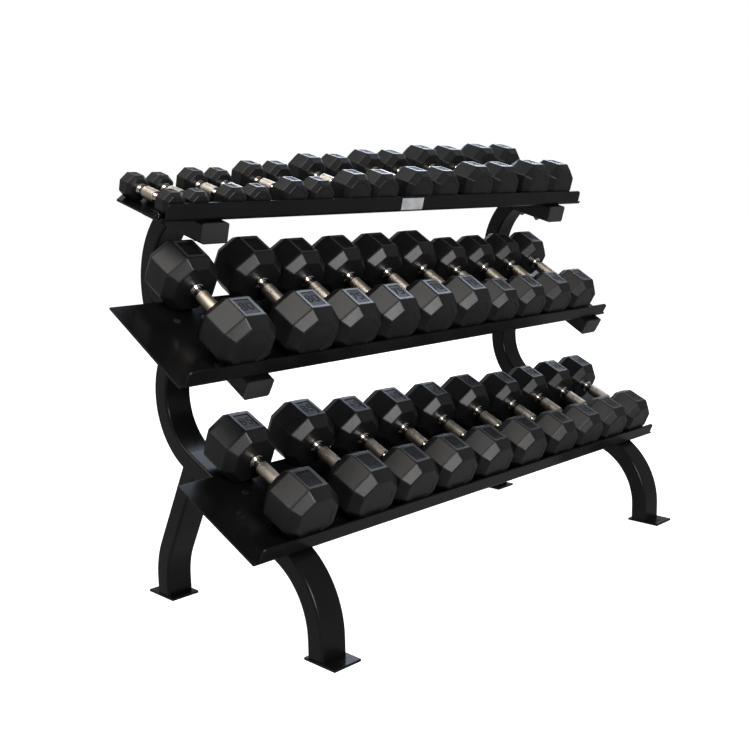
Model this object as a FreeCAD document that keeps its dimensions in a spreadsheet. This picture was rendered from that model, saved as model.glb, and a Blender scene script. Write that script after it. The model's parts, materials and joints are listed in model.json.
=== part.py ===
import FreeCAD, Part
import math
import os
import Sketcher

# Three-tier dumbbell rack with its octagonal dumbbells.
# Frame: X runs along the trays (right +), the open front of the rack faces -Y, Z is up.
# The origin lies on the floor below the middle of the rack's bounding box.

DOC = FreeCAD.newDocument("dumbbell_rack")
os.makedirs("parts", exist_ok=True)
V = FreeCAD.Vector
X_AXIS = V(1, 0, 0)
Z_AXIS = V(0, 0, 1)

# Driving dimensions of the steel rack, in millimetres and degrees.
RACK_SIZES = {
    "frame_spacing": 1365,
    "origin_shift_x": 35.5,
    "origin_shift_y": -366.5,
    "tube_width": 76.2,
    "tube_depth": 50.8,
    "tube_corner": 7,
    "tube_wall": 3,
    "plate_thick": 6,
    "plate_width": 82,
    "front_plate_start": 0,
    "front_plate_length": 102,
    "rear_plate_start": 623,
    "rear_plate_length": 108,
    "front_leg_y": 69,
    "rear_leg_y": 670,
    "anchor_inset": 19,
    "anchor_hole_radius": 5.5,
    "front_bend_radius": 200,
    "lower_bend_radius": 170,
    "lower_bend_y": 460,
    "waist_bend_radius": 80,
    "upper_bend_radius": 203,
    "upper_bend_y": 463,
    "upper_bend_z": 826,
    "rear_bend_radius": 200,
    "rear_corner_z": 97,
    "rear_leg_lean": 28,
    "rear_leg_length": 330,
    "tray_length": 1650,
    "tray_sheet": 5,
    "tray_bend_radius": 5,
    "top_tray_clip": 100,
    "lip_height": 45,
    "lip_inset": 12,
    "lip_corner": 12,
    "arm_overhang": 12,
    "cap_thick": 4,
    "cap_plug": 18,
    "cap_fit": 0.05,
    "bolt_radius": 5,
    "bolt_hole_radius": 5.3,
    "bolt_head_radius": 9,
    "bolt_head_height": 2.5,
    "bolt_head_fit": 0.3,
    "washer_radius": 10,
    "washer_thick": 2,
    "nut_across_corners": 19,
    "nut_height": 8,
    "nut_fit": 0.05,
    "bolt_tail": 4,
    "plug_offset": -80,
    "badge_width": 86,
    "badge_height": 33,
    "badge_thick": 1.2,
    "badge_x": 0,
    "rest_gap": 0.3,
    "lip_gap": 2,
    "head_band_ratio": 0.5,
    "head_chamfer_ratio": 0.17,
    "head_face_ratio": 0.75,
    "collar_length": 7,
    "neck_length": 19,
}

# Each tier: lower front corner of the tray, its slope, depth, sideways shift, bolt stations along
# the slope, length of the arm tube under it, and where the first head starts from the left end.
TIERS = {
    "top": {"y": 421.5, "z": 985.5, "tilt": 15.9, "depth": 290, "shift": 0, "bolt_a": 57, "bolt_b": 118,
            "arm": 248, "left": 10},
    "middle": {"y": 275, "z": 629.5, "tilt": 30.9, "depth": 314, "shift": -75, "bolt_a": 57, "bolt_b": 234,
               "arm": 441, "left": 103},
    "bottom": {"y": 138, "z": 237.5, "tilt": 24.9, "depth": 312, "shift": 0, "bolt_a": 69, "bolt_b": 231,
               "arm": 0, "left": 90},
}

# Handles: length between the heads, then grip, neck and collar radii.
HANDLES = {
    "small": {"span": 100, "grip": 15.5, "neck": 11.5, "collar": 17},
    "large": {"span": 117, "grip": 17, "neck": 13, "collar": 18.5},
}

# Dumbbells from left to right on each tier as pairs: pair name (its number is the weight it
# stands for), width across the head's flats, gap before the pair, gap inside the pair, handle.
PAIRS = {
    "top": (
        ("05", 62, 0, 7, "small"),
        ("10", 70, 38, 7, "small"),
        ("15", 83, 38, 7, "small"),
        ("20", 98, 38, 7, "small"),
        ("25", 105, 38, 7, "large"),
        ("30", 117, 38, 7, "large"),
        ("35", 123, 38, 7, "large"),
    ),
    "middle": (
        ("80", 150, 0, 48, "large"),
        ("75", 143, 4, 4, "large"),
        ("70", 143, 4, 4, "large"),
        ("45", 127, 4, 3, "large"),
        ("40", 127, 3, 3, "large"),
    ),
    "bottom": (
        ("85", 150, 0, 46, "large"),
        ("65", 140, 14, 14, "large"),
        ("60", 136, 19, 19, "large"),
        ("55", 128, 26, 5, "large"),
        ("50", 128, 5, 5, "large"),
    ),
}


def make_sheet():
    """Write every driving dimension into the spreadsheet and return it."""
    sheet = DOC.addObject("Spreadsheet::Sheet", "Sizes")
    row = 0
    rows = [(name, value) for name, value in RACK_SIZES.items()]
    for tier, sizes in TIERS.items():
        rows += [(f"{tier}_{name}", value) for name, value in sizes.items()]
    for tier, pairs in PAIRS.items():
        for name, flats, gap, inner, _ in pairs:
            rows.append((f"flats_{name}", flats))
            rows.append((f"gap_{name}", gap))
            rows.append((f"inner_{name}", inner))
    for handle_size, sizes in HANDLES.items():
        rows += [(f"{handle_size}_{name}", value) for name, value in sizes.items()]
    for name, value in rows:
        row += 1
        sheet.set(f"A{row}", name)
        sheet.set(f"B{row}", str(value))
        sheet.setAlias(f"B{row}", name)
    DOC.recompute()
    return sheet


SHEET = make_sheet()


def size(name):
    """Read one dimension back from the sheet."""
    return float(getattr(SHEET, name))


def link(name):
    """Write a sheet reference for use inside an expression."""
    return f"Sizes.{name}"


def bind(obj, prop, expression):
    """Drive one property of an object from the sheet."""
    obj.setExpression(prop, expression)


def place(obj, x="0 mm", y="0 mm", z="0 mm", tilt=None):
    """Drive an object's position, and its turn about X when tilt is given."""
    obj.Placement = FreeCAD.Placement(V(0, 0, 0), FreeCAD.Rotation(X_AXIS, 1 if tilt else 0))
    bind(obj, "Placement.Base.x", x)
    bind(obj, "Placement.Base.y", y)
    bind(obj, "Placement.Base.z", z)
    if tilt:
        bind(obj, "Placement.Rotation.Angle", tilt)


def mm(expression):
    """Give a plain number from the sheet the unit of a length."""
    return f"({expression}) * 1 mm"


def deg(name):
    """Give a sheet value the unit of an angle."""
    return f"{link(name)} * 1 deg"


def frame_x(side):
    """Middle plane of one side frame, measured from the origin."""
    return f"{side} * {link('frame_spacing')} / 2 + {link('origin_shift_x')}"


def world_y(expression):
    """Move a depth measured from the front plate's edge to the origin."""
    return f"{expression} + {link('origin_shift_y')}"


def deck_point(tier, along, above):
    """World Y and Z of a point given along the tray's slope and above its underside."""
    tilt = deg(f"{tier}_tilt")
    y = f"{link(tier + '_y')} + ({along}) * cos({tilt}) - ({above}) * sin({tilt})"
    z = f"{link(tier + '_z')} + ({along}) * sin({tilt}) + ({above}) * cos({tilt})"
    return world_y(y), z


def add(kind, name):
    """Add a document object."""
    return DOC.addObject(kind, name)


def box(name, length, width, height):
    """A box whose three sizes are expressions."""
    obj = add("Part::Box", name)
    bind(obj, "Length", mm(length))
    bind(obj, "Width", mm(width))
    bind(obj, "Height", mm(height))
    return obj


def cylinder(name, radius, height):
    """A cylinder whose sizes are expressions."""
    obj = add("Part::Cylinder", name)
    bind(obj, "Radius", mm(radius))
    bind(obj, "Height", mm(height))
    return obj


def cut(name, base, tools):
    """Subtract a list of tools from a base."""
    tool = tools[0]
    if len(tools) > 1:
        tool = add("Part::MultiFuse", name + "_tools")
        tool.Shapes = tools
    obj = add("Part::Cut", name)
    obj.Base = base
    obj.Tool = tool
    return obj


def rounded_rectangle(name, width, depth, corner):
    """A sketch of a rounded rectangle centred on its own origin."""
    sketch = add("Sketcher::SketchObject", name)
    half_w = size("tube_width") / 2
    half_d = size("tube_depth") / 2
    r = size("tube_corner")
    lines = (
        (V(-half_w + r, -half_d, 0), V(half_w - r, -half_d, 0)),
        (V(half_w, -half_d + r, 0), V(half_w, half_d - r, 0)),
        (V(half_w - r, half_d, 0), V(-half_w + r, half_d, 0)),
        (V(-half_w, half_d - r, 0), V(-half_w, -half_d + r, 0)),
    )
    for start, end in lines:
        sketch.addGeometry(Part.LineSegment(start, end), False)
    centres = (
        V(half_w - r, -half_d + r, 0), V(half_w - r, half_d - r, 0),
        V(-half_w + r, half_d - r, 0), V(-half_w + r, -half_d + r, 0),
    )
    for index, centre in enumerate(centres):
        start = -math.pi / 2 + index * math.pi / 2
        circle = Part.Circle(centre, Z_AXIS, r)
        sketch.addGeometry(Part.ArcOfCircle(circle, start, start + math.pi / 2), False)
    for index in range(4):
        arc = 4 + index
        sketch.addConstraint(Sketcher.Constraint("Tangent", index, 2, arc, 1))
        sketch.addConstraint(Sketcher.Constraint("Tangent", arc, 2, (index + 1) % 4, 1))
    sketch.addConstraint(Sketcher.Constraint("Horizontal", 0))
    sketch.addConstraint(Sketcher.Constraint("Horizontal", 2))
    sketch.addConstraint(Sketcher.Constraint("Vertical", 1))
    sketch.addConstraint(Sketcher.Constraint("Vertical", 3))
    for arc in (5, 6, 7):
        sketch.addConstraint(Sketcher.Constraint("Equal", 4, arc))
    corner_index = sketch.addConstraint(Sketcher.Constraint("Radius", 4, r))
    width_index = sketch.addConstraint(Sketcher.Constraint("DistanceX", 3, 1, 1, 1, size("tube_width")))
    depth_index = sketch.addConstraint(Sketcher.Constraint("DistanceY", 0, 1, 2, 1, size("tube_depth")))
    side_index = sketch.addConstraint(Sketcher.Constraint("DistanceX", 3, 1, -1, 1, half_w))
    base_index = sketch.addConstraint(Sketcher.Constraint("DistanceY", 0, 1, -1, 1, half_d))
    bind(sketch, f"Constraints[{corner_index}]", mm(corner))
    bind(sketch, f"Constraints[{width_index}]", mm(width))
    bind(sketch, f"Constraints[{depth_index}]", mm(depth))
    bind(sketch, f"Constraints[{side_index}]", mm(f"({width}) / 2"))
    bind(sketch, f"Constraints[{base_index}]", mm(f"({depth}) / 2"))
    return sketch


def outer_section(name):
    """Outside of the rack's rectangular tube."""
    return rounded_rectangle(name, link("tube_width"), link("tube_depth"), link("tube_corner"))


def inner_section(name, fit="0"):
    """Inside of the tube, reduced on every side by the given fit."""
    wall = f"({link('tube_wall')} + {fit})"
    return rounded_rectangle(
        name,
        f"{link('tube_width')} - 2 * {wall}",
        f"{link('tube_depth')} - 2 * {wall}",
        f"{link('tube_corner')} - {wall}",
    )


def arc(centre, radius, start, end):
    """An arc in the sketch plane, counter-clockwise from start to end (radians)."""
    return Part.ArcOfCircle(Part.Circle(centre, Z_AXIS, radius), start, end)


def main_path_points():
    """Corner points and centres of the main tube's centre line, in side view (depth, height)."""
    tilt = math.radians(size("bottom_tilt"))
    half = size("tube_depth") / 2
    offset = size("bottom_z") * math.cos(tilt) - size("bottom_y") * math.sin(tilt) - half
    leg_y = size("front_leg_y")
    r0 = size("front_bend_radius")
    r1 = size("lower_bend_radius")
    r2 = size("waist_bend_radius")
    r3 = size("upper_bend_radius")
    c0y = leg_y + r0
    c0 = V(c0y, (offset - r0 + c0y * math.sin(tilt)) / math.cos(tilt), 0)
    c1y = size("lower_bend_y")
    c1 = V(c1y, (offset + r1 + c1y * math.sin(tilt)) / math.cos(tilt), 0)
    c3 = V(size("upper_bend_y"), size("upper_bend_z"), 0)
    reach_low = r1 + r2
    reach_high = r3 + r2
    between = c3.sub(c1)
    gap = between.Length
    along = (reach_low ** 2 - reach_high ** 2 + gap ** 2) / (2 * gap)
    aside = math.sqrt(reach_low ** 2 - along ** 2)
    unit = between.multiply(1 / gap)
    c2 = c1.add(V(unit.x * along + unit.y * aside, unit.y * along - unit.x * aside, 0))
    return tilt, offset, c0, c1, c2, c3


def angle_to(centre, point):
    """Direction angle from a centre to a point."""
    return math.atan2(point.y - centre.y, point.x - centre.x)


def main_path(name):
    """Centre line of the main tube: front leg, slope under the bottom tray, two rear bulges."""
    tilt, offset, c0, c1, c2, c3 = main_path_points()
    r0 = size("front_bend_radius")
    r1 = size("lower_bend_radius")
    r2 = size("waist_bend_radius")
    r3 = size("upper_bend_radius")
    top_z = top_end_height()
    start = V(size("front_leg_y"), size("plate_thick"), 0)
    leg_top = V(size("front_leg_y"), c0.y, 0)
    normal = V(-math.sin(tilt), math.cos(tilt), 0)
    slope_low = c0.add(normal * r0)
    slope_high = c1.sub(normal * r1)
    top_angle = math.asin((top_z - c3.y) / r3)
    sketch = add("Sketcher::SketchObject", name)
    sketch.Placement = FreeCAD.Placement(V(0, 0, 0), FreeCAD.Rotation(V(1, 1, 1), 120))
    sketch.addGeometry(Part.LineSegment(start, leg_top), False)
    sketch.addGeometry(arc(c0, r0, angle_to(c0, slope_low), math.pi), False)
    sketch.addGeometry(Part.LineSegment(slope_low, slope_high), False)
    sketch.addGeometry(arc(c1, r1, angle_to(c1, slope_high), angle_to(c1, c2)), False)
    sketch.addGeometry(arc(c2, r2, angle_to(c2, c3), angle_to(c2, c1) + 2 * math.pi), False)
    sketch.addGeometry(arc(c3, r3, angle_to(c3, c2), top_angle), False)
    joints = ((0, 2, 1, 2), (1, 1, 2, 1), (2, 2, 3, 1), (3, 2, 4, 2), (4, 1, 5, 1))
    for first, first_end, second, second_end in joints:
        sketch.addConstraint(Sketcher.Constraint("Tangent", first, first_end, second, second_end))
    sketch.addConstraint(Sketcher.Constraint("Vertical", 0))
    driven = (
        (Sketcher.Constraint("DistanceX", -1, 1, 0, 1, start.x), link("front_leg_y")),
        (Sketcher.Constraint("DistanceY", -1, 1, 0, 1, start.y), link("plate_thick")),
        (Sketcher.Constraint("Radius", 1, r0), link("front_bend_radius")),
        (Sketcher.Constraint("Radius", 3, r1), link("lower_bend_radius")),
        (Sketcher.Constraint("Radius", 4, r2), link("waist_bend_radius")),
        (Sketcher.Constraint("Radius", 5, r3), link("upper_bend_radius")),
        (Sketcher.Constraint("DistanceX", -1, 1, 3, 3, c1.x), link("lower_bend_y")),
        (Sketcher.Constraint("DistanceX", -1, 1, 5, 3, c3.x), link("upper_bend_y")),
        (Sketcher.Constraint("DistanceY", -1, 1, 5, 3, c3.y), link("upper_bend_z")),
        (Sketcher.Constraint("DistanceY", -1, 1, 5, 2, top_z), None),
        (Sketcher.Constraint("Distance", -1, 1, 2, offset),
         f"{link('bottom_z')} * cos({deg('bottom_tilt')}) - {link('bottom_y')} * sin({deg('bottom_tilt')})"
         f" - {link('tube_depth')} / 2"),
    )
    for constraint, expression in driven:
        index = sketch.addConstraint(constraint)
        if expression:
            bind(sketch, f"Constraints[{index}]", mm(expression))
    slope = sketch.addConstraint(Sketcher.Constraint("Angle", -1, 1, 2, 1, tilt))
    bind(sketch, f"Constraints[{slope}]", deg("bottom_tilt"))
    return sketch


def top_end_height():
    """Height at which the main tube's centre line passes under the top arm's underside."""
    tilt = math.radians(size("top_tilt"))
    depth = size("tube_depth")
    start_y = size("top_y") + depth * math.sin(tilt)
    start_z = size("top_z") - depth * math.cos(tilt)
    reach = size("upper_bend_y") + size("upper_bend_radius") * 0.73
    return start_z + (reach - start_y) * math.tan(tilt) + size("tube_depth") / 4


def rear_path(name):
    """Centre line of the rear leg: upright foot, one bend, straight run up to the main tube."""
    lean = math.radians(size("rear_leg_lean"))
    radius = size("rear_bend_radius")
    corner = V(size("rear_leg_y"), size("rear_corner_z"), 0)
    reach = radius * math.tan(lean / 2)
    direction = V(-math.sin(lean), math.cos(lean), 0)
    low = V(corner.x, corner.y - reach, 0)
    high = corner.add(direction * reach)
    centre = V(corner.x - radius, low.y, 0)
    end = corner.add(direction * size("rear_leg_length"))
    sketch = add("Sketcher::SketchObject", name)
    sketch.Placement = FreeCAD.Placement(V(0, 0, 0), FreeCAD.Rotation(V(1, 1, 1), 120))
    sketch.addGeometry(Part.LineSegment(V(corner.x, size("plate_thick"), 0), low), False)
    sketch.addGeometry(arc(centre, radius, 0, lean), False)
    sketch.addGeometry(Part.LineSegment(high, end), False)
    sketch.addConstraint(Sketcher.Constraint("Tangent", 0, 2, 1, 1))
    sketch.addConstraint(Sketcher.Constraint("Tangent", 1, 2, 2, 1))
    sketch.addConstraint(Sketcher.Constraint("Vertical", 0))
    tangent_z = (f"{link('rear_corner_z')} - {link('rear_bend_radius')}"
                 f" * tan({deg('rear_leg_lean')} / 2)")
    driven = (
        (Sketcher.Constraint("DistanceX", -1, 1, 0, 1, corner.x), link("rear_leg_y")),
        (Sketcher.Constraint("DistanceY", -1, 1, 0, 1, size("plate_thick")), link("plate_thick")),
        (Sketcher.Constraint("DistanceY", -1, 1, 0, 2, low.y), tangent_z),
        (Sketcher.Constraint("Radius", 1, radius), link("rear_bend_radius")),
        (Sketcher.Constraint("DistanceY", -1, 1, 2, 2, end.y),
         f"{link('rear_corner_z')} + {link('rear_leg_length')} * cos({deg('rear_leg_lean')})"),
    )
    for constraint, expression in driven:
        index = sketch.addConstraint(constraint)
        bind(sketch, f"Constraints[{index}]", mm(expression))
    lean_index = sketch.addConstraint(Sketcher.Constraint("Angle", 1, lean))
    bind(sketch, f"Constraints[{lean_index}]", deg("rear_leg_lean"))
    return sketch


def sweep(name, path, section):
    """Sweep a closed section along a path into a solid."""
    obj = add("Part::Sweep", name)
    obj.Sections = [section]
    obj.Spine = (path, [])
    obj.Solid = True
    obj.Frenet = False
    return obj


def swept_tube(name, path, start_depth):
    """Outer and inner solids of a bent tube that stands on its foot plate."""
    solids = []
    for part, section in (("outer", outer_section), ("inner", inner_section)):
        outline = section(f"{name}_{part}_section")
        place(outline, y=mm(start_depth), z=mm(link("plate_thick")))
        solids.append(sweep(f"{name}_{part}", path, outline))
    return solids


def bolt_stations(tier):
    """Sheet names of the two bolt stations of a tray."""
    return (link(f"{tier}_bolt_a"), link(f"{tier}_bolt_b"))


def bolt_drill(name, tier, along, x):
    """A drill through the tray and the tube under it."""
    tool = cylinder(name, link("bolt_hole_radius"), f"3 * {link('tube_depth')}")
    y, z = deck_point(tier, along, f"-2 * {link('tube_depth')}")
    place(tool, x=mm(x), y=mm(y), z=mm(z), tilt=deg(f"{tier}_tilt"))
    return tool


def bolt_seat(name, tier, along, x):
    """A round recess in the deck, so that a bolt's or plug's head lies flush."""
    tool = cylinder(name, f"{link('bolt_head_radius')} + {link('bolt_head_fit')}", link("tray_sheet"))
    y, z = deck_point(tier, along, f"{link('tray_sheet')} - {link('bolt_head_height')}")
    place(tool, x=mm(x), y=mm(y), z=mm(z), tilt=deg(f"{tier}_tilt"))
    return tool


def finish(obj, label):
    """Mark an object as a sub-part that is written out under its label."""
    obj.Label = label
    SUB_PARTS.append(obj)
    return obj


SUB_PARTS = []


def side_frame(side_name, side):
    """One welded side frame: main tube, rear leg, two arms, two foot plates, two end caps."""
    x = frame_x(side)
    drills = {tier: [bolt_drill(f"{side_name}_{tier}_drill_{i}", tier, along, x)
                     for i, along in enumerate(bolt_stations(tier))] for tier in TIERS}
    path = main_path(f"{side_name}_main_path")
    outer, inner = swept_tube(f"{side_name}_main", path, link("front_leg_y"))
    for solid in (outer, inner):
        place(solid, x=mm(x), y=mm(link("origin_shift_y")))
    top_arm_envelope = arm_solid(f"{side_name}_top_trim", "top", x, outer_section)
    name = f"{side_name}_main_tube"
    finish(cut(name, outer, [inner, top_arm_envelope] + drills["bottom"]), name)

    leg_path = rear_path(f"{side_name}_rear_path")
    leg_outer, leg_inner = swept_tube(f"{side_name}_rear", leg_path, link("rear_leg_y"))
    for solid in (leg_outer, leg_inner):
        place(solid, x=mm(x), y=mm(link("origin_shift_y")))
    name = f"{side_name}_rear_leg"
    finish(cut(name, leg_outer, [leg_inner, outer]), name)

    for tier in ("top", "middle"):
        arm_outer = arm_solid(f"{side_name}_{tier}_arm_outer", tier, x, outer_section)
        arm_inner = arm_solid(f"{side_name}_{tier}_arm_inner", tier, x, inner_section)
        tools = [arm_inner] + drills[tier]
        if tier == "middle":
            tools.append(outer)
        name = f"{side_name}_{tier}_arm"
        finish(cut(name, arm_outer, tools), name)
        finish(arm_cap(f"{side_name}_{tier}_arm_cap", tier, x), f"{side_name}_{tier}_arm_cap")

    for end, toward_front in (("front", True), ("rear", False)):
        finish(foot_plate(f"{side_name}_{end}_foot_plate", end, x, toward_front),
               f"{side_name}_{end}_foot_plate")


def arm_solid(name, tier, x, section):
    """Straight tube under a tray, parallel to its slope, drawn as an outer or inner solid."""
    outline = section(f"{name}_section")
    obj = add("Part::Extrusion", name)
    obj.Base = outline
    obj.DirMode = "Custom"
    obj.Dir = V(0, 0, 1)
    obj.Solid = True
    bind(obj, "LengthFwd", mm(link(f"{tier}_arm")))
    y, z = deck_point(tier, f"-{link('arm_overhang')}", f"-{link('tube_depth')} / 2")
    place(obj, x=mm(x), y=mm(y), z=mm(z), tilt=f"{deg(tier + '_tilt')} - 90 deg")
    return obj


def arm_cap(name, tier, x):
    """Cap that closes an arm's front end: a flange with a plug inside the tube."""
    flange = add("Part::Extrusion", f"{name}_flange")
    flange.Base = outer_section(f"{name}_flange_section")
    plug = add("Part::Extrusion", f"{name}_plug")
    plug.Base = inner_section(f"{name}_plug_section", link("cap_fit"))
    for obj, length, start in ((flange, "cap_thick", f"-{link('cap_thick')}"), (plug, "cap_plug", "0")):
        obj.DirMode = "Custom"
        obj.Dir = V(0, 0, 1)
        obj.Solid = True
        bind(obj, "LengthFwd", mm(link(length)))
        y, z = deck_point(tier, f"{start} - {link('arm_overhang')}", f"-{link('tube_depth')} / 2")
        place(obj, x=mm(x), y=mm(y), z=mm(z), tilt=f"{deg(tier + '_tilt')} - 90 deg")
    cap = add("Part::MultiFuse", name)
    cap.Shapes = [flange, plug]
    cap.Refine = True
    return cap


def foot_plate(name, end, x, toward_front):
    """Flat plate under a leg, with its anchor hole in the part that sticks out."""
    plate = box(f"{name}_blank", link("plate_width"), link(f"{end}_plate_length"), link("plate_thick"))
    start = link(f"{end}_plate_start")
    place(plate, x=mm(f"{x} - {link('plate_width')} / 2"), y=mm(world_y(start)))
    if toward_front:
        hole_y = f"{start} + {link('anchor_inset')}"
    else:
        hole_y = f"{start} + {link(end + '_plate_length')} - {link('anchor_inset')}"
    hole = cylinder(f"{name}_hole", link("anchor_hole_radius"), f"3 * {link('plate_thick')}")
    place(hole, x=mm(x), y=mm(world_y(hole_y)), z=mm(f"-{link('plate_thick')}"))
    return cut(name, plate, [hole])


def tray_profile(name, tier):
    """Bent sheet in side view: the deck, and the lip standing square to it at the front."""
    t = size("tray_sheet")
    r = size("tray_bend_radius")
    depth = size(f"{tier}_depth")
    lip = size("lip_height")
    sketch = add("Sketcher::SketchObject", name)
    sketch.Placement = FreeCAD.Placement(V(0, 0, 0), FreeCAD.Rotation(V(1, 1, 1), 120))
    outer = r + t
    sketch.addGeometry(Part.LineSegment(V(outer, 0, 0), V(depth, 0, 0)), False)
    sketch.addGeometry(Part.LineSegment(V(depth, 0, 0), V(depth, t, 0)), False)
    sketch.addGeometry(Part.LineSegment(V(depth, t, 0), V(outer, t, 0)), False)
    sketch.addGeometry(arc(V(outer, outer, 0), r, math.pi, 1.5 * math.pi), False)
    sketch.addGeometry(Part.LineSegment(V(t, outer, 0), V(t, lip, 0)), False)
    sketch.addGeometry(Part.LineSegment(V(t, lip, 0), V(0, lip, 0)), False)
    sketch.addGeometry(Part.LineSegment(V(0, lip, 0), V(0, outer, 0)), False)
    sketch.addGeometry(arc(V(outer, outer, 0), outer, math.pi, 1.5 * math.pi), False)
    for first, first_end, second, second_end in ((0, 2, 1, 1), (1, 2, 2, 1), (4, 2, 5, 1), (5, 2, 6, 1)):
        sketch.addConstraint(Sketcher.Constraint("Coincident", first, first_end, second, second_end))
    for first, first_end, second, second_end in ((2, 2, 3, 2), (3, 1, 4, 1), (6, 2, 7, 1), (7, 2, 0, 1)):
        sketch.addConstraint(Sketcher.Constraint("Tangent", first, first_end, second, second_end))
    for line in (0, 2, 5):
        sketch.addConstraint(Sketcher.Constraint("Horizontal", line))
    for line in (1, 4, 6):
        sketch.addConstraint(Sketcher.Constraint("Vertical", line))
    driven = (
        (Sketcher.Constraint("DistanceX", -1, 1, 0, 2, depth), link(f"{tier}_depth")),
        (Sketcher.Constraint("DistanceY", -1, 1, 5, 2, lip), link("lip_height")),
        (Sketcher.Constraint("Radius", 3, r), link("tray_bend_radius")),
        (Sketcher.Constraint("DistanceY", 1, 1, 1, 2, t), link("tray_sheet")),
        (Sketcher.Constraint("DistanceX", 5, 2, 5, 1, t), link("tray_sheet")),
    )
    for constraint, expression in driven:
        index = sketch.addConstraint(constraint)
        bind(sketch, f"Constraints[{index}]", mm(expression))
    sketch.addConstraint(Sketcher.Constraint("PointOnObject", 0, 1, -1))
    sketch.addConstraint(Sketcher.Constraint("PointOnObject", 6, 1, -2))
    return sketch


def tray(tier):
    """One tray: bent sheet, lip cut back with rounded corners at both ends, bolt holes."""
    name = f"{tier}_tray"
    blank = add("Part::Extrusion", f"{name}_blank")
    blank.Base = tray_profile(f"{name}_profile", tier)
    blank.DirMode = "Custom"
    blank.Dir = V(1, 0, 0)
    blank.Solid = True
    bind(blank, "LengthFwd", mm(link("tray_length")))
    shift = f"{link('origin_shift_x')} + {link(tier + '_shift')}"
    left = f"{shift} - {link('tray_length')} / 2"
    y, z = deck_point(tier, "0", "0")
    place(blank, x=mm(left), y=mm(y), z=mm(z), tilt=deg(f"{tier}_tilt"))
    tools = []
    for end, side in (("left", -1), ("right", 1)):
        tools += lip_end_tools(f"{name}_{end}", tier, side, shift)
        centre = frame_x(side)
        for index, along in enumerate(bolt_stations(tier)):
            tools.append(bolt_drill(f"{name}_{end}_drill_{index}", tier, along, centre))
            tools.append(bolt_seat(f"{name}_{end}_seat_{index}", tier, along, centre))
            if tier == "middle":
                spare = f"{centre} + {link('plug_offset')}"
                tools.append(bolt_drill(f"{name}_{end}_spare_{index}", tier, along, spare))
                tools.append(bolt_seat(f"{name}_{end}_spare_seat_{index}", tier, along, spare))
        if tier == "top":
            tools.append(corner_clip(f"{name}_{end}_clip", tier, side, shift))
    return finish(cut(name, blank, tools), name)


def corner_clip(name, tier, side, shift):
    """Four-sided prism standing on a rear corner of the deck, which takes the corner off at 45 degrees."""
    tool = add("Part::Prism", name)
    tool.Polygon = 4
    bind(tool, "Circumradius", mm(link(f"{tier}_tray_clip")))
    bind(tool, "Height", mm(f"3 * {link('tray_sheet')}"))
    y, z = deck_point(tier, link(f"{tier}_depth"), f"-{link('tray_sheet')}")
    end_x = f"{shift} + {side} * {link('tray_length')} / 2"
    place(tool, x=mm(end_x), y=mm(y), z=mm(z), tilt=deg(f"{tier}_tilt"))
    return tool


def lip_end_tools(name, tier, side, shift):
    """Tools that cut the lip back from a tray's end and round its top corner."""
    tilt = deg(f"{tier}_tilt")
    clear = f"{link('tray_sheet')} + {link('tray_bend_radius')}"
    end_x = f"{shift} + {side} * {link('tray_length')} / 2"
    if side > 0:
        start_x = f"{end_x} - {link('lip_inset')}"
        round_x = f"{start_x} - {link('lip_corner')}"
        corner_x = round_x
    else:
        start_x = end_x
        round_x = f"{end_x} + {link('lip_inset')}"
        corner_x = f"{round_x} + {link('lip_corner')}"
    relief = box(f"{name}_relief", link("lip_inset"), f"2 * ({clear})", link("lip_height"))
    y, z = deck_point(tier, f"-({clear})", clear)
    place(relief, x=mm(start_x), y=mm(y), z=mm(z), tilt=tilt)
    block = box(f"{name}_round_block", link("lip_corner"), f"2 * ({clear})", link("lip_corner"))
    y, z = deck_point(tier, f"-({clear})", f"{link('lip_height')} - {link('lip_corner')}")
    place(block, x=mm(round_x), y=mm(y), z=mm(z), tilt=tilt)
    keep = cylinder(f"{name}_round_keep", link("lip_corner"), f"2 * ({clear})")
    y, z = deck_point(tier, clear, f"{link('lip_height')} - {link('lip_corner')}")
    place(keep, x=mm(corner_x), y=mm(y), z=mm(z), tilt=f"{tilt} + 90 deg")
    return [relief, cut(f"{name}_round", block, [keep])]


def tray_bolts(tier):
    """The four low-head bolts that hold one tray, flush with its deck."""
    bolts = []
    for side in (-1, 1):
        for index, along in enumerate(bolt_stations(tier)):
            name = f"{tier}_bolt_{'left' if side < 0 else 'right'}_{index}"
            head = cylinder(f"{name}_head", link("bolt_head_radius"), link("bolt_head_height"))
            shank_length = (f"{link('tray_sheet')} + {link('tube_depth')} + {link('washer_thick')}"
                            f" + {link('nut_height')} + {link('bolt_tail')}")
            shank = cylinder(f"{name}_shank", link("bolt_radius"), shank_length)
            tilt = deg(f"{tier}_tilt")
            y, z = deck_point(tier, along, f"{link('tray_sheet')} - {link('bolt_head_height')}")
            place(head, x=mm(frame_x(side)), y=mm(y), z=mm(z), tilt=tilt)
            y, z = deck_point(tier, along, f"{link('tray_sheet')} - ({shank_length})")
            place(shank, x=mm(frame_x(side)), y=mm(y), z=mm(z), tilt=tilt)
            bolt = add("Part::MultiFuse", name)
            bolt.Shapes = [head, shank]
            bolts.append(bolt)
    group = add("Part::Compound", f"{tier}_tray_bolts")
    group.Links = bolts
    return finish(group, f"{tier}_tray_bolts")


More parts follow.
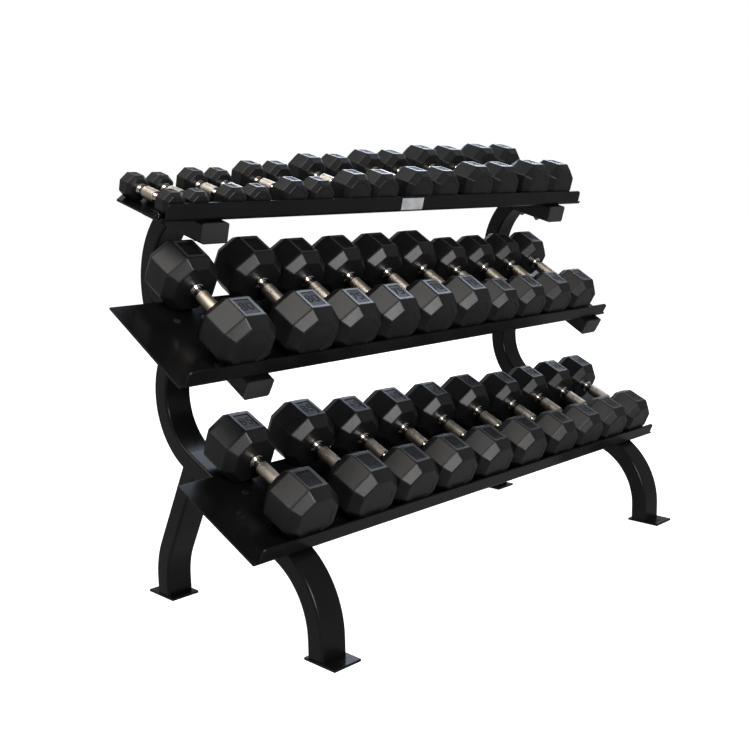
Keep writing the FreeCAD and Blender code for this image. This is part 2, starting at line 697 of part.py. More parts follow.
def tray_nuts():
    """Twelve hex nuts, each with its washer face, under the arms and the main tubes."""
    nuts = []
    for tier in TIERS:
        tilt = deg(f"{tier}_tilt")
        for side in (-1, 1):
            for index, along in enumerate(bolt_stations(tier)):
                name = f"{tier}_nut_{'left' if side < 0 else 'right'}_{index}"
                washer = cylinder(f"{name}_washer", link("washer_radius"), link("washer_thick"))
                y, z = deck_point(tier, along, f"-{link('tube_depth')} - {link('washer_thick')}")
                place(washer, x=mm(frame_x(side)), y=mm(y), z=mm(z), tilt=tilt)
                hexagon = add("Part::Prism", f"{name}_hex")
                hexagon.Polygon = 6
                bind(hexagon, "Circumradius", mm(f"{link('nut_across_corners')} / 2"))
                bind(hexagon, "Height", mm(link("nut_height")))
                drop = f"-{link('tube_depth')} - {link('washer_thick')} - {link('nut_height')}"
                y, z = deck_point(tier, along, drop)
                place(hexagon, x=mm(frame_x(side)), y=mm(y), z=mm(z), tilt=tilt)
                body = add("Part::MultiFuse", f"{name}_body")
                body.Shapes = [washer, hexagon]
                bore = cylinder(f"{name}_bore", f"{link('bolt_radius')} + {link('nut_fit')}",
                                f"4 * {link('nut_height')}")
                y, z = deck_point(tier, along, f"{drop} - {link('nut_height')}")
                place(bore, x=mm(frame_x(side)), y=mm(y), z=mm(z), tilt=tilt)
                nuts.append(cut(name, body, [bore]))
    group = add("Part::Compound", "tray_nuts")
    group.Links = nuts
    return finish(group, "tray_nuts")


def hole_plugs():
    """Plugs in the middle tray's spare holes beside the arms."""
    plugs = []
    tilt = deg("middle_tilt")
    for side in (-1, 1):
        for index, along in enumerate(bolt_stations("middle")):
            name = f"plug_{'left' if side < 0 else 'right'}_{index}"
            x = f"{frame_x(side)} + {link('plug_offset')}"
            head = cylinder(f"{name}_head", link("bolt_head_radius"), link("bolt_head_height"))
            y, z = deck_point("middle", along, f"{link('tray_sheet')} - {link('bolt_head_height')}")
            place(head, x=mm(x), y=mm(y), z=mm(z), tilt=tilt)
            stem = cylinder(f"{name}_stem", f"{link('bolt_hole_radius')} - {link('cap_fit')}",
                            f"{link('tray_sheet')} + {link('bolt_head_height')}")
            y, z = deck_point("middle", along, f"-{link('bolt_head_height')}")
            place(stem, x=mm(x), y=mm(y), z=mm(z), tilt=tilt)
            plug = add("Part::MultiFuse", name)
            plug.Shapes = [head, stem]
            plugs.append(plug)
    group = add("Part::Compound", "middle_tray_plugs")
    group.Links = plugs
    return finish(group, "middle_tray_plugs")


def lip_badge():
    """Plain badge plate on the front of the top tray's lip."""
    badge = box("lip_badge", link("badge_width"), link("badge_thick"), link("badge_height"))
    above = f"({link('lip_height')} - {link('badge_height')}) / 2 + {link('badge_thick')}"
    y, z = deck_point("top", f"-{link('badge_thick')}", above)
    x = f"{link('badge_x')} + {link('origin_shift_x')} - {link('badge_width')} / 2"
    place(badge, x=mm(x), y=mm(y), z=mm(z), tilt=deg("top_tilt"))
    return finish(badge, "lip_badge")


def handle(kind):
    """Handle of one size: thick grip, two necks and two collars, on the Y axis."""
    half = f"{link(kind + '_span')} / 2"
    grip_half = f"({half} - {link('collar_length')} - {link('neck_length')})"
    pieces = []
    spans = (
        ("collar_front", "collar", f"-({half})", link("collar_length")),
        ("neck_front", "neck", f"-({half}) + {link('collar_length')}", link("neck_length")),
        ("grip", "grip", f"-({grip_half})", f"2 * {grip_half}"),
        ("neck_rear", "neck", grip_half, link("neck_length")),
        ("collar_rear", "collar", f"{half} - {link('collar_length')}", link("collar_length")),
    )
    for part, radius, start, length in spans:
        piece = cylinder(f"{kind}_handle_{part}", link(f"{kind}_{radius}"), length)
        place(piece, y=mm(f"({start}) + ({length})"), tilt="90 deg")
        pieces.append(piece)
    whole = add("Part::MultiFuse", f"{kind}_handle_solid")
    whole.Shapes = pieces
    return whole


def head_solid(name, pair, kind, side):
    """Octagonal head: a band of eight flats with a chamfer to a smaller face at each end."""
    flats = link(f"flats_{pair}")
    chamfer = f"({link('head_chamfer_ratio')} * {flats})"
    band = f"({link('head_band_ratio')} * {flats})"
    inner = f"{link(kind + '_span')} / 2"
    stations = (
        (inner, link("head_face_ratio")),
        (f"{inner} + {chamfer}", "1"),
        (f"{inner} + {chamfer} + {band}", "1"),
        (f"{inner} + 2 * {chamfer} + {band}", link("head_face_ratio")),
    )
    rings = []
    for index, (distance, ratio) in enumerate(stations):
        ring = add("Part::RegularPolygon", f"{name}_ring_{index}")
        ring.Polygon = 8
        bind(ring, "Circumradius", mm(f"{ratio} * {flats} / 2 / cos(22.5 deg)"))
        turn = FreeCAD.Rotation(X_AXIS, 90).multiply(FreeCAD.Rotation(Z_AXIS, 22.5))
        ring.Placement = FreeCAD.Placement(V(0, 0, 0), turn)
        bind(ring, "Placement.Base.y", mm(f"{side} * ({distance})"))
        rings.append(ring)
    head = add("Part::Loft", name)
    head.Sections = rings
    head.Solid = True
    head.Ruled = True
    return head


def dumbbells(tier, handles):
    """All dumbbells of one tier, set side by side from the tray's left end."""
    edge = (f"{link('origin_shift_x')} + {link(tier + '_shift')} - {link('tray_length')} / 2"
            f" + {link(tier + '_left')}")
    reach = edge
    for pair, _, _, _, kind in PAIRS[tier]:
        flats = link(f"flats_{pair}")
        heads = [head_solid(f"head_{pair}_{label}", pair, kind, side)
                 for label, side in (("front", -1), ("rear", 1))]
        head_length = f"({link('head_band_ratio')} + 2 * {link('head_chamfer_ratio')}) * {flats}"
        along = (f"{link('tray_sheet')} + {link('lip_gap')} + {head_length}"
                 f" + {link(kind + '_span')} / 2")
        above = f"{link('tray_sheet')} + {link('rest_gap')} + {flats} / 2"
        y, z = deck_point(tier, along, above)
        for letter, gap in (("a", f"gap_{pair}"), ("b", f"inner_{pair}")):
            x = f"{reach} + {link(gap)} + {flats} / 2"
            reach = f"{reach} + {link(gap)} + {flats}"
            bell = add("Part::Compound", f"dumbbell_{pair}_{letter}")
            bell.Links = heads + [handles[kind]]
            place(bell, x=mm(x), y=mm(y), z=mm(z), tilt=deg(f"{tier}_tilt"))
            finish(bell, f"dumbbell_{pair}_{letter}")


def write_parts():
    """Check every object and export one STEP file per sub-part."""
    DOC.recompute()
    for obj in DOC.Objects:
        if "Invalid" in obj.State or "Error" in obj.State:
            raise RuntimeError(f"{obj.Label}: {obj.State}")
    for obj in SUB_PARTS:
        shape = obj.Shape
        if shape.isNull() or not shape.isValid() or not shape.Solids:
            raise RuntimeError(f"{obj.Label}: shape is null, invalid or empty")
        shape.exportStep(f"parts/{obj.Label}.step")
        limits = shape.BoundBox
        print(f"{obj.Label}: {len(shape.Solids)} solids, "
              f"x {limits.XMin:.1f}..{limits.XMax:.1f}, y {limits.YMin:.1f}..{limits.YMax:.1f}, "
              f"z {limits.ZMin:.1f}..{limits.ZMax:.1f}")


side_frame("left", -1)
side_frame("right", 1)
for tier_name in TIERS:
    tray(tier_name)
    tray_bolts(tier_name)
tray_nuts()
hole_plugs()
lip_badge()
handle_solids = {handle_size: handle(handle_size) for handle_size in HANDLES}
for tier_name in TIERS:
    dumbbells(tier_name, handle_solids)
write_parts()
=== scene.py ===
"""Studio scene of a three-tier dumbbell rack: dresses the steel frame and details its dumbbells.

The rack's nodes come from the shared frame and keep their shape; they only get a finish. Each
dumbbell node is replaced by a detailed one of the same size: bevelled heads with number panels,
a turned handle with a knurled grip, and raised numbers.
"""

import json
import logging
import math
from dataclasses import dataclass, field
from enum import Enum
from typing import Optional

import bmesh
import bpy
from mathutils import Matrix, Vector


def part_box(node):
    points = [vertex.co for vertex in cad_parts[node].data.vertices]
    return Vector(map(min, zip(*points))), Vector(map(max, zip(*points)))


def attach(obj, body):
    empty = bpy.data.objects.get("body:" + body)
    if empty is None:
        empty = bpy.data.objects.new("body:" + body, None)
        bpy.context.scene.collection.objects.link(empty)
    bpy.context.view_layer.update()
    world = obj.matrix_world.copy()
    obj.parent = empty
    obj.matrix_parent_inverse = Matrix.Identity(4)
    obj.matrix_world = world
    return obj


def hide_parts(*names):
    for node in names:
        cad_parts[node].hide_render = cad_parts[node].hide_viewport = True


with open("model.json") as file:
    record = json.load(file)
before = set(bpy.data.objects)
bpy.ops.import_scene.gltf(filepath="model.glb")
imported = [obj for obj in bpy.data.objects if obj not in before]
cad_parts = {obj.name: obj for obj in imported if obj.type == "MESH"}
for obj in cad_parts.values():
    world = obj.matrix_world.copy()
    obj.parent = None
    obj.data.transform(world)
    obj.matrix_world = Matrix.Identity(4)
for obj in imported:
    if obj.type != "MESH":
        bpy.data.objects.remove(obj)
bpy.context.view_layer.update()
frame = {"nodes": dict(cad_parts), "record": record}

LOG = logging.getLogger("dumbbell_rack")
MM = 0.001
OCTAGON = 8
HALF_STEP = math.pi / OCTAGON
NOISE_LOW, NOISE_HIGH = 0.3, 0.7
TINT_LOW, TINT_HIGH = 0.35, 0.65
BRUSH_STRETCH = (1.0, 0.04, 1.0)
SHARP_ANGLE = math.radians(35.0)
Color = tuple[float, float, float]


class Tier(Enum):
    """The three trays, each with its slope in degrees."""

    TOP = 15.9
    MIDDLE = 30.9
    BOTTOM = 24.9

    @property
    def slope(self) -> float:
        """Slope in radians."""
        return math.radians(self.value)


class Relief(Enum):
    """Fine surface shapes that a finish can carry."""

    GRAIN = "grain"
    BRUSHED = "brushed"
    KNURL = "knurl"


class Shader:
    """A material under construction: its node tree with short helpers."""

    def __init__(self, name: str) -> None:
        """Start a material with one principled shader.

        Args:
            name: Name of the material.
        """
        self.material = bpy.data.materials.new(name)
        self.material.use_nodes = True
        self.nodes = self.material.node_tree.nodes
        self.links = self.material.node_tree.links
        self.nodes.clear()
        output = self.add("ShaderNodeOutputMaterial")
        self.surface = self.add("ShaderNodeBsdfPrincipled")
        self.join(self.surface.outputs["BSDF"], output.inputs["Surface"])
        self.place = self.add("ShaderNodeTexCoord").outputs["Object"]

    def add(self, kind: str, **inputs: float) -> bpy.types.Node:
        """Add a node.

        Args:
            kind: Blender's name of the node type.
            inputs: Values for its sockets, by socket name with spaces as underscores.

        Returns:
            The new node.
        """
        node = self.nodes.new(kind)
        for name, value in inputs.items():
            node.inputs[name.replace("_", " ")].default_value = value
        return node

    def join(self, source: bpy.types.NodeSocket, target: bpy.types.NodeSocket) -> None:
        """Connect two sockets."""
        self.links.new(source, target)

    def math(self, operation: str, first: object, second: object = 0.0) -> bpy.types.NodeSocket:
        """Add a math node.

        Args:
            operation: Blender's name of the operation.
            first: A socket or a number.
            second: A socket or a number.

        Returns:
            The result's socket.
        """
        node = self.nodes.new("ShaderNodeMath")
        node.operation = operation
        for index, value in enumerate((first, second)):
            if isinstance(value, bpy.types.NodeSocket):
                self.join(value, node.inputs[index])
            else:
                node.inputs[index].default_value = value
        return node.outputs["Value"]

    def noise(
        self, scale: float, detail: float = 3.0, stretch: Optional[Color] = None,
    ) -> bpy.types.NodeSocket:
        """Add a noise texture.

        Args:
            scale: Noise scale per metre.
            detail: Number of octaves.
            stretch: Scale along each axis, for brushed grain.

        Returns:
            The noise value's socket.
        """
        node = self.add("ShaderNodeTexNoise", Scale=scale, Detail=detail)
        if stretch:
            mapping = self.add("ShaderNodeMapping", Scale=stretch)
            self.join(self.place, mapping.inputs["Vector"])
            self.join(mapping.outputs["Vector"], node.inputs["Vector"])
        else:
            self.join(self.place, node.inputs["Vector"])
        return node.outputs["Fac"]

    def spread(self, value: bpy.types.NodeSocket, low: float, high: float) -> bpy.types.NodeSocket:
        """Spread a 0 to 1 value over a range.

        Args:
            value: The value's socket.
            low: Result near the noise's low end.
            high: Result near the noise's high end.

        Returns:
            The result's socket.
        """
        node = self.add(
            "ShaderNodeMapRange", From_Min=NOISE_LOW, From_Max=NOISE_HIGH, To_Min=low, To_Max=high,
        )
        self.join(value, node.inputs["Value"])
        return node.outputs["Result"]

    def tint(self, value: bpy.types.NodeSocket, dark: Color, light: Color) -> bpy.types.NodeSocket:
        """Turn a value into a colour between two others.

        Args:
            value: The value's socket.
            dark: Colour at the low end.
            light: Colour at the high end.

        Returns:
            The colour's socket.
        """
        ramp = self.nodes.new("ShaderNodeValToRGB")
        ramp.color_ramp.elements[0].position = TINT_LOW
        ramp.color_ramp.elements[1].position = TINT_HIGH
        ramp.color_ramp.elements[0].color = (*dark, 1.0)
        ramp.color_ramp.elements[1].color = (*light, 1.0)
        self.join(value, ramp.inputs["Fac"])
        return ramp.outputs["Color"]


@dataclass(frozen=True)
class Finish:
    """A surface finish with slight variation in colour and gloss and a fine relief."""

    name: str
    dark: Color
    light: Color
    gloss: tuple[float, float]
    metallic: float = 0.0
    specular: float = 0.5
    coat: float = 0.0
    coat_roughness: float = 0.1
    patch_scale: float = 6.0
    grain_scale: float = 900.0
    bump: float = 0.1
    bump_depth: float = 0.0003
    edge_radius: float = 0.0
    relief: Relief = Relief.GRAIN
    knurl_teeth: float = 64.0
    glow: float = 0.0

    def build(self) -> bpy.types.Material:
        """Build the material.

        Returns:
            The procedural material.
        """
        shader = Shader(self.name)
        surface = shader.surface.inputs
        surface["Metallic"].default_value = self.metallic
        surface["Specular IOR Level"].default_value = self.specular
        surface["Coat Weight"].default_value = self.coat
        surface["Coat Roughness"].default_value = self.coat_roughness
        surface["Emission Color"].default_value = (1.0, 1.0, 1.0, 1.0)
        surface["Emission Strength"].default_value = self.glow
        patches = shader.noise(self.patch_scale)
        shader.join(shader.tint(patches, self.dark, self.light), surface["Base Color"])
        shader.join(shader.spread(patches, *self.gloss), surface["Roughness"])
        bump = shader.add("ShaderNodeBump", Strength=self.bump, Distance=self.bump_depth)
        shader.join(self.height(shader), bump.inputs["Height"])
        if self.edge_radius:
            edge = shader.add("ShaderNodeBevel", Radius=self.edge_radius)
            shader.join(edge.outputs["Normal"], bump.inputs["Normal"])
        shader.join(bump.outputs["Normal"], surface["Normal"])
        return shader.material

    def height(self, shader: Shader) -> bpy.types.NodeSocket:
        """Fine relief of the surface.

        Args:
            shader: The material under construction.

        Returns:
            The height's socket.
        """
        if self.relief is Relief.BRUSHED:
            return shader.noise(self.grain_scale, stretch=BRUSH_STRETCH)
        if self.relief is Relief.KNURL:
            return self.knurl(shader)
        return shader.noise(self.grain_scale)

    def knurl(self, shader: Shader) -> bpy.types.NodeSocket:
        """Diamond knurl around the local Y axis.

        Args:
            shader: The material under construction.

        Returns:
            The height's socket.
        """
        parts = shader.add("ShaderNodeSeparateXYZ")
        shader.join(shader.place, parts.inputs["Vector"])
        turn = shader.math("ARCTAN2", parts.outputs["Z"], parts.outputs["X"])
        around = shader.math("MULTIPLY", turn, self.knurl_teeth)
        along = shader.math("MULTIPLY", parts.outputs["Y"], self.grain_scale)
        rising = shader.math("SINE", shader.math("ADD", around, along))
        falling = shader.math("SINE", shader.math("SUBTRACT", around, along))
        return shader.math("MINIMUM", rising, falling)


class Finishes:
    """All finishes of the scene, each built once and shared by record slot."""

    def __init__(self) -> None:
        """Build every material."""
        self.coat = Finish(
            "black_powder_coat", (0.0030, 0.0030, 0.0033), (0.0048, 0.0046, 0.0048), (0.20, 0.30),
            specular=0.20, coat=0.03, coat_roughness=0.12, grain_scale=420.0, bump=0.10, edge_radius=0.0018,
        ).build()
        self.bolt = Finish(
            "dark_bolt_steel", (0.10, 0.10, 0.105), (0.20, 0.20, 0.205), (0.26, 0.36),
            metallic=0.95, patch_scale=60.0, edge_radius=0.0006,
        ).build()
        self.zinc = Finish(
            "zinc_plated_steel", (0.42, 0.43, 0.44), (0.60, 0.60, 0.58), (0.25, 0.40),
            metallic=1.0, patch_scale=90.0, edge_radius=0.0006,
        ).build()
        self.plastic = Finish(
            "black_plastic", (0.010, 0.010, 0.011), (0.018, 0.018, 0.019), (0.38, 0.5),
            grain_scale=1500.0, edge_radius=0.0012,
        ).build()
        self.badge = Finish(
            "pale_badge", (0.24, 0.25, 0.26), (0.34, 0.35, 0.36), (0.35, 0.45), patch_scale=40.0,
        ).build()
        self.rubber = Finish(
            "charcoal_rubber", (0.0045, 0.0046, 0.0050), (0.0075, 0.0076, 0.0083), (0.30, 0.38),
            specular=0.30, patch_scale=14.0, grain_scale=700.0, bump=0.35, bump_depth=0.0005,
        ).build()
        # Rim rubber for the raised borders of the number panels: glossier than the body rubber, and its
        # lighter colour is a painted highlight along the borders.
        self.rim = Finish(
            "rim_rubber_painted_highlight", (0.030, 0.031, 0.034), (0.042, 0.043, 0.047), (0.24, 0.32),
            specular=0.7, patch_scale=14.0, grain_scale=1300.0, bump=0.08,
        ).build()
        self.numbers = Finish(
            "number_black", (0.007, 0.007, 0.008), (0.011, 0.011, 0.012), (0.55, 0.65),
            specular=0.25, patch_scale=50.0,
        ).build()
        self.chrome = Finish(
            "turned_chrome", (0.70, 0.66, 0.61), (0.80, 0.76, 0.71), (0.10, 0.18),
            metallic=1.0, patch_scale=35.0, grain_scale=600.0, bump=0.05, relief=Relief.BRUSHED,
        ).build()
        self.knurl = Finish(
            "knurled_chrome", (0.66, 0.58, 0.48), (0.82, 0.74, 0.62), (0.26, 0.34),
            metallic=1.0, patch_scale=35.0, grain_scale=3700.0, bump=0.30, bump_depth=0.0003,
            relief=Relief.KNURL,
        ).build()
        self.floor = Finish(
            "pale_floor", (0.80, 0.80, 0.80), (0.83, 0.83, 0.83), (0.55, 0.65), patch_scale=1.5,
            grain_scale=60.0, bump=0.02, glow=0.86,
        ).build()
        self.slots = {
            "black_coat": self.coat,
            "black_bolt": self.bolt,
            "zinc_nut": self.zinc,
            "black_plastic": self.plastic,
            "badge": self.badge,
        }


@dataclass
class SteelRack:
    """The fixed rack: every node that is not a dumbbell, dressed by its record slot."""

    finishes: Finishes

    def dress(self) -> None:
        """Give each rack node its finish."""
        slots = {entry["node"]: entry["material_slot"] for entry in frame["record"]["subparts"]}
        for name, node in frame["nodes"].items():
            if name.startswith("dumbbell"):
                continue
            node.data.materials.clear()
            node.data.materials.append(self.finishes.slots[slots[name]])
            for face in node.data.polygons:
                face.material_index = 0
            LOG.info("dressed %s as %s", name, slots[name])


@dataclass(frozen=True)
class Head:
    """One octagonal head, centred on the handle's axis, which is local Y."""

    flats: float
    inner_end: float
    side: int
    band_ratio: float = 0.5
    chamfer_ratio: float = 0.17
    face_ratio: float = 0.75
    edge_round: float = 0.018
    frame_ratio: float = 0.065
    panel_depth: float = 1.4 * MM
    panel_slope: float = 1.6 * MM
    end_ratio: float = 0.075
    end_depth: float = 1.2 * MM

    def stations(self) -> list[tuple[float, float]]:
        """Distance from the middle of the handle and width across flats of each ring.

        Returns:
            Pairs of distance and width.
        """
        chamfer = self.chamfer_ratio * self.flats
        band_start = self.inner_end + chamfer
        band_end = band_start + self.band_ratio * self.flats
        small = self.face_ratio * self.flats
        return [
            (self.inner_end, small),
            (band_start, self.flats),
            (band_end, self.flats),
            (band_end + chamfer, small),
        ]

    @property
    def band_middle(self) -> float:
        """Distance of the band's middle from the middle of the handle."""
        return self.inner_end + (self.chamfer_ratio + self.band_ratio / 2) * self.flats

    def add_to(self, target: bmesh.types.BMesh) -> None:
        """Add the head to a mesh.

        Args:
            target: The mesh that holds both heads.
        """
        body = bmesh.new()
        rings = []
        for distance, width in self.stations():
            radius = width / 2 / math.cos(HALF_STEP)
            angles = [HALF_STEP * (1 + 2 * corner) for corner in range(OCTAGON)]
            rings.append([
                body.verts.new((radius * math.cos(a), self.side * distance, radius * math.sin(a)))
                for a in angles
            ])
        for near, far in zip(rings, rings[1:]):
            for corner in range(OCTAGON):
                following = (corner + 1) % OCTAGON
                body.faces.new((near[corner], near[following], far[following], far[corner]))
        body.faces.new(rings[0])
        body.faces.new(rings[-1])
        bmesh.ops.recalc_face_normals(body, faces=body.faces)
        bmesh.ops.bevel(
            body, geom=body.edges[:], offset=self.edge_round * self.flats, segments=2,
            profile=0.5, affect="EDGES", clamp_overlap=True,
        )
        self.recess(body, Vector((0, 0, 1)), self.frame_ratio, self.panel_depth, rim=True)
        self.recess(body, Vector((0, self.side, 0)), self.end_ratio, self.end_depth)
        mesh = bpy.data.meshes.new("head_part")
        body.to_mesh(mesh)
        body.free()
        target.from_mesh(mesh)
        bpy.data.meshes.remove(mesh)

    def recess(
        self, body: bmesh.types.BMesh, outward: Vector, border: float, depth: float, rim: bool = False,
    ) -> None:
        """Sink a panel into the widest face that looks one way, leaving a raised border.

        Args:
            body: The head's mesh.
            outward: Direction the face looks to.
            border: Width of the border as a share of the width across flats.
            depth: Depth of the panel.
            rim: Whether the border gets the rim rubber, which is glossier than the panel and has a lighter
                colour that is a painted highlight.
        """
        body.normal_update()
        faces = [f for f in body.faces if f.normal.dot(outward) > 0.99]
        face = max(faces, key=lambda f: f.calc_area())
        around = bmesh.ops.inset_region(body, faces=[face], thickness=border * self.flats, depth=0.0)
        # When asked, the border ring takes slot 1: the rim rubber whose lighter colour is a painted
        # highlight.
        for side in around["faces"]:
            side.material_index = int(rim)
        bmesh.ops.inset_region(body, faces=[face], thickness=self.panel_slope, depth=-depth)


@dataclass
class HandleShape:
    """Turned handle: a collar against each head, a neck, and a thicker knurled grip."""

    length: float
    grip: float
    neck: float
    collar: float
    collar_length: float = 7 * MM
    neck_length: float = 19 * MM
    edge: float = 1.2 * MM
    sides: int = 40

    def profile(self) -> list[tuple[float, float, bool]]:
        """Stations from the middle to one end.

        Returns:
            Distance, radius and whether the span that starts there is knurled.
        """
        half = self.length / 2
        grip_end = half - self.collar_length - self.neck_length
        collar_start = half - self.collar_length
        return [
            (0.0, self.grip, True),
            (grip_end - 2 * self.edge, self.grip, False),
            (grip_end - self.edge, self.grip, False),
            (grip_end, self.grip - self.edge, False),
            (grip_end, self.neck, False),
            (collar_start, self.neck, False),
            (collar_start, self.collar - self.edge, False),
            (collar_start + self.edge, self.collar, False),
            (half - self.edge, self.collar, False),
            (half, self.collar - self.edge, False),
            (half, self.neck, False),
        ]

    def mesh(self, name: str) -> bpy.types.Mesh:
        """Turn the profile around local Y.

        Args:
            name: Name of the mesh.

        Returns:
            A mesh with plain chrome in slot 0 and knurling in slot 1.
        """
        half = self.profile()
        mirrored = [(-distance, radius, False) for distance, radius, _ in reversed(half[1:])]
        spans = [False] * (len(mirrored) - 1) + [True] + [entry[2] for entry in half[:-1]]
        stations = [(y, r) for y, r, _ in mirrored] + [(y, r) for y, r, _ in half]
        body = bmesh.new()
        rings = []
        for distance, radius in stations:
            turns = [2 * math.pi * k / self.sides for k in range(self.sides)]
            rings.append([
                body.verts.new((radius * math.cos(a), distance, radius * math.sin(a))) for a in turns
            ])
        for (near, far), knurled in zip(zip(rings, rings[1:]), spans):
            for k in range(self.sides):
                following = (k + 1) % self.sides
                face = body.faces.new((near[k], near[following], far[following], far[k]))
                face.material_index = int(knurled)
                face.smooth = True
        body.faces.new(rings[0])
        body.faces.new(rings[-1])
        bmesh.ops.recalc_face_normals(body, faces=body.faces)
        mesh = bpy.data.meshes.new(name)
        body.to_mesh(mesh)
        body.free()
        mesh.set_sharp_from_angle(angle=SHARP_ANGLE)
        return mesh


@dataclass
class DumbbellPair:
    """Two equal dumbbells side by side on one tray."""

    weight: str
    tier: Tier
    finishes: Finishes
    handle_length: float = 117 * MM
    grip: float = 17 * MM
    neck: float = 13 * MM
    collar: float = 18.5 * MM
    digit_ratio: float = 0.27
    digit_height: float = 0.5 * MM
    meshes: dict[str, bpy.types.Mesh] = field(default_factory=dict)

    def build(self) -> None:
        """Build both dumbbells and let them stand for their frame nodes."""
        for letter in ("a", "b"):
            node = f"dumbbell_{self.weight}_{letter}"
            low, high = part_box(node)
            if not self.meshes:
                self.make_meshes(high.x - low.x)
            centre = (low + high) / 2
            place = Matrix.Translation(centre) @ Matrix.Rotation(self.tier.slope, 4, "X")
            for part, mesh in self.meshes.items():
                piece = bpy.data.objects.new(f"{part}_{self.weight}_{letter}", mesh)
                bpy.context.scene.collection.objects.link(piece)
                piece.matrix_world = place
                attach(piece, node)
                if part == "heads":
                    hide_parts(node)
            LOG.info("built %s, %.0f mm across its flats", node, (high.x - low.x) / MM)

    def make_meshes(self, flats: float) -> None:
        """Make the meshes that both dumbbells of the pair share.

        Args:
            flats: Width across a head's flats.
        """
        self.meshes["heads"] = self.heads_mesh(flats)
        shape = HandleShape(self.handle_length, self.grip, self.neck, self.collar)
        handle = shape.mesh(f"handle_{self.weight}")
        handle.materials.append(self.finishes.chrome)
        handle.materials.append(self.finishes.knurl)
        self.meshes["handle"] = handle
        self.meshes["numbers"] = self.numbers_mesh(flats)

    def heads(self, flats: float) -> list[Head]:
        """Front and rear head.

        Args:
            flats: Width across a head's flats.

        Returns:
            The two heads.
        """
        return [Head(flats, self.handle_length / 2, side) for side in (-1, 1)]

    def heads_mesh(self, flats: float) -> bpy.types.Mesh:
        """Mesh of both heads.

        Args:
            flats: Width across a head's flats.

        Returns:
            The rubber-coated heads.
        """
        body = bmesh.new()
        for head in self.heads(flats):
            head.add_to(body)
        mesh = bpy.data.meshes.new(f"heads_{self.weight}")
        body.to_mesh(mesh)
        body.free()
        mesh.materials.append(self.finishes.rubber)
        # Slot 1 is the rim rubber for the panel borders. Its lighter colour is a painted highlight.
        mesh.materials.append(self.finishes.rim)
        return mesh

    def numbers_mesh(self, flats: float) -> bpy.types.Mesh:
        """Raised weight numbers on the top panel of both heads.

        Args:
            flats: Width across a head's flats.

        Returns:
            The numbers of both heads in one mesh.
        """
        curve = bpy.data.curves.new(f"digits_{self.weight}", "FONT")
        curve.body = str(int(self.weight))
        curve.align_x = "CENTER"
        curve.align_y = "CENTER"
        curve.size = self.digit_ratio * flats
        curve.extrude = self.digit_height / 2
        curve.resolution_u = 3
        source = bpy.data.objects.new(f"digits_{self.weight}", curve)
        glyphs = bpy.data.meshes.new_from_object(source)
        body = bmesh.new()
        for head in self.heads(flats):
            level = flats / 2 - head.panel_depth + self.digit_height / 2
            start = len(body.verts)
            body.from_mesh(glyphs)
            body.verts.ensure_lookup_table()
            shift = Vector((0, head.side * head.band_middle, level))
            bmesh.ops.translate(body, verts=body.verts[start:], vec=shift)
        mesh = bpy.data.meshes.new(f"numbers_{self.weight}")
        body.to_mesh(mesh)
        body.free()
        mesh.materials.append(self.finishes.numbers)
        bpy.data.objects.remove(source)
        bpy.data.curves.remove(curve)
        bpy.data.meshes.remove(glyphs)
        return mesh


@dataclass
class DumbbellSet:
    """All dumbbells of the rack, tray by tray."""

    finishes: Finishes
    weights: dict[Tier, tuple[str, ...]] = field(default_factory=lambda: {
        Tier.TOP: ("05", "10", "15", "20", "25", "30", "35"),
        Tier.MIDDLE: ("80", "75", "70", "45", "40"),
        Tier.BOTTOM: ("85", "65", "60", "55", "50"),
    })
    light: tuple[str, ...] = ("05", "10", "15", "20")
    small_handle: dict[str, float] = field(default_factory=lambda: {
        "handle_length": 100 * MM, "grip": 15.5 * MM, "neck": 10.5 * MM, "collar": 14.5 * MM,
    })

    def build(self) -> None:
        """Build every pair."""
        for tier, weights in self.weights.items():
            for weight in weights:
                sizes = self.small_handle if weight in self.light else {}
                DumbbellPair(weight, tier, self.finishes, **sizes).build()


@dataclass(frozen=True)
class SoftLight:
    """One square area light that looks at the middle of the rack and stays out of view."""

    name: str
    place: tuple[float, float, float]
    size: float
    power: float
    color: Color
    target: tuple[float, float, float] = (0.0, 0.0, 0.6)

    def hang(self) -> None:
        """Add the light to the scene."""
        light = bpy.data.lights.new(self.name, "AREA")
        light.size = self.size
        light.energy = self.power
        light.color = self.color
        lamp = bpy.data.objects.new(self.name, light)
        lamp.location = Vector(self.place)
        aim = Vector(self.target) - lamp.location
        lamp.rotation_euler = aim.to_track_quat("-Z", "Y").to_euler()
        lamp.visible_camera = False
        bpy.context.scene.collection.objects.link(lamp)


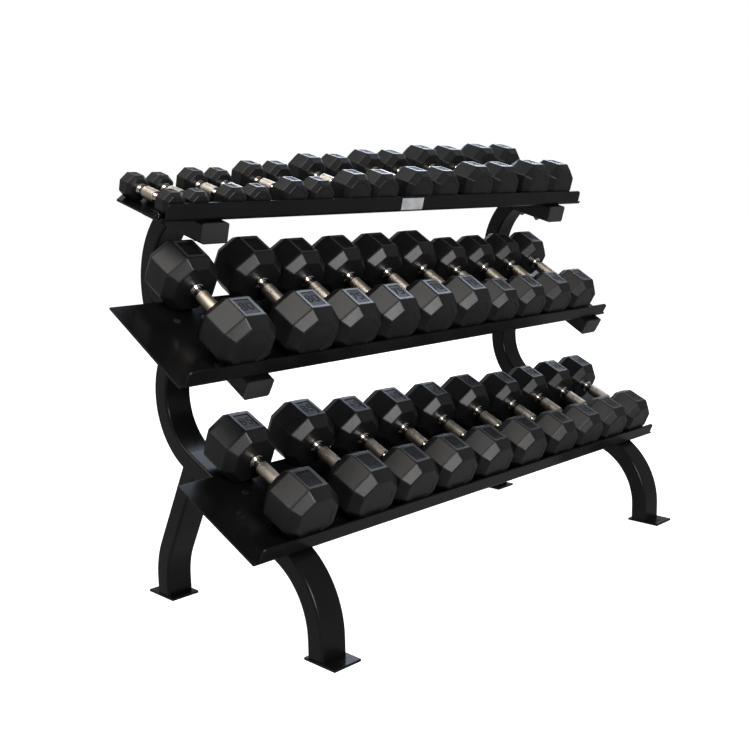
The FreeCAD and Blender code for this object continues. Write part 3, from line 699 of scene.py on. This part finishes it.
@dataclass
class Studio:
    """Pale floor, soft lights and the camera."""

    finishes: Finishes
    lights: tuple[SoftLight, ...] = (
        SoftLight("key", (-1.6, -3.3, 1.9), 1.4, 100.0, (1.0, 0.98, 0.97)),
        SoftLight("window", (3.2, 2.2, 3.5), 3.0, 120.0, (0.74, 0.84, 1.0)),
        SoftLight("ceiling", (-2.4, 0.6, 4.4), 3.0, 110.0, (1.0, 0.96, 0.90)),
    )
    floor_size: float = 60.0
    camera_place: tuple[float, float, float] = (-2.1543, -1.9919, 1.0496)
    yaw: float = math.radians(44.80)
    pitch: float = math.radians(9.94)
    roll: float = math.radians(-1.38)
    lens: float = 50.75
    view_end: float = 200.0
    room_light: float = 0.28
    backdrop_light: float = 1.0
    sensor: float = 36.0

    def build(self) -> None:
        """Build the floor, the light around the rack, the lights and the camera."""
        self.build_floor()
        self.build_world()
        for light in self.lights:
            light.hang()
        self.build_camera()
        LOG.info("studio is ready")

    def build_floor(self) -> None:
        """Lay one wide floor, pale under the rack but not mirrored in its gloss."""
        half = self.floor_size / 2
        mesh = bpy.data.meshes.new("floor")
        corners = [(-half, -half, 0), (half, -half, 0), (half, half, 0), (-half, half, 0)]
        mesh.from_pydata(corners, [], [(0, 1, 2, 3)])
        mesh.materials.append(self.finishes.floor)
        floor = bpy.data.objects.new("floor", mesh)
        floor.visible_glossy = False
        bpy.context.scene.collection.objects.link(floor)

    def build_world(self) -> None:
        """Surround the scene with an even light: white to the camera, dimmer on the rack."""
        world = bpy.data.worlds.new("studio")
        world.use_nodes = True
        nodes, links = world.node_tree.nodes, world.node_tree.links
        background = nodes["Background"]
        background.inputs["Color"].default_value = (1.0, 1.0, 1.0, 1.0)
        path = nodes.new("ShaderNodeLightPath")
        strength = nodes.new("ShaderNodeMapRange")
        strength.inputs["To Min"].default_value = self.room_light
        strength.inputs["To Max"].default_value = self.backdrop_light
        links.new(path.outputs["Is Camera Ray"], strength.inputs["Value"])
        links.new(strength.outputs["Result"], background.inputs["Strength"])
        bpy.context.scene.world = world
        bpy.context.scene.view_settings.view_transform = "Standard"

    def build_camera(self) -> None:
        """Place the camera by its turn, tilt and roll."""
        ahead = Vector((
            math.sin(self.yaw) * math.cos(self.pitch),
            math.cos(self.yaw) * math.cos(self.pitch),
            -math.sin(self.pitch),
        ))
        level = Vector((math.cos(self.yaw), -math.sin(self.yaw), 0.0))
        upright = level.cross(ahead)
        right = math.cos(self.roll) * level + math.sin(self.roll) * upright
        up = -math.sin(self.roll) * level + math.cos(self.roll) * upright
        data = bpy.data.cameras.new("camera")
        data.lens = self.lens
        data.sensor_width = self.sensor
        data.clip_end = self.view_end
        camera = bpy.data.objects.new("camera", data)
        turn = Matrix((right, up, -ahead)).transposed().to_4x4()
        camera.matrix_world = Matrix.Translation(Vector(self.camera_place)) @ turn
        bpy.context.scene.collection.objects.link(camera)
        bpy.context.scene.camera = camera


def main() -> None:
    """Build the rack's looks, its dumbbells and the studio."""
    logging.basicConfig(level=logging.INFO, format="%(name)s: %(message)s")
    finishes = Finishes()
    SteelRack(finishes).dress()
    DumbbellSet(finishes).build()
    Studio(finishes).build()


if __name__ == "__main__":
    main()
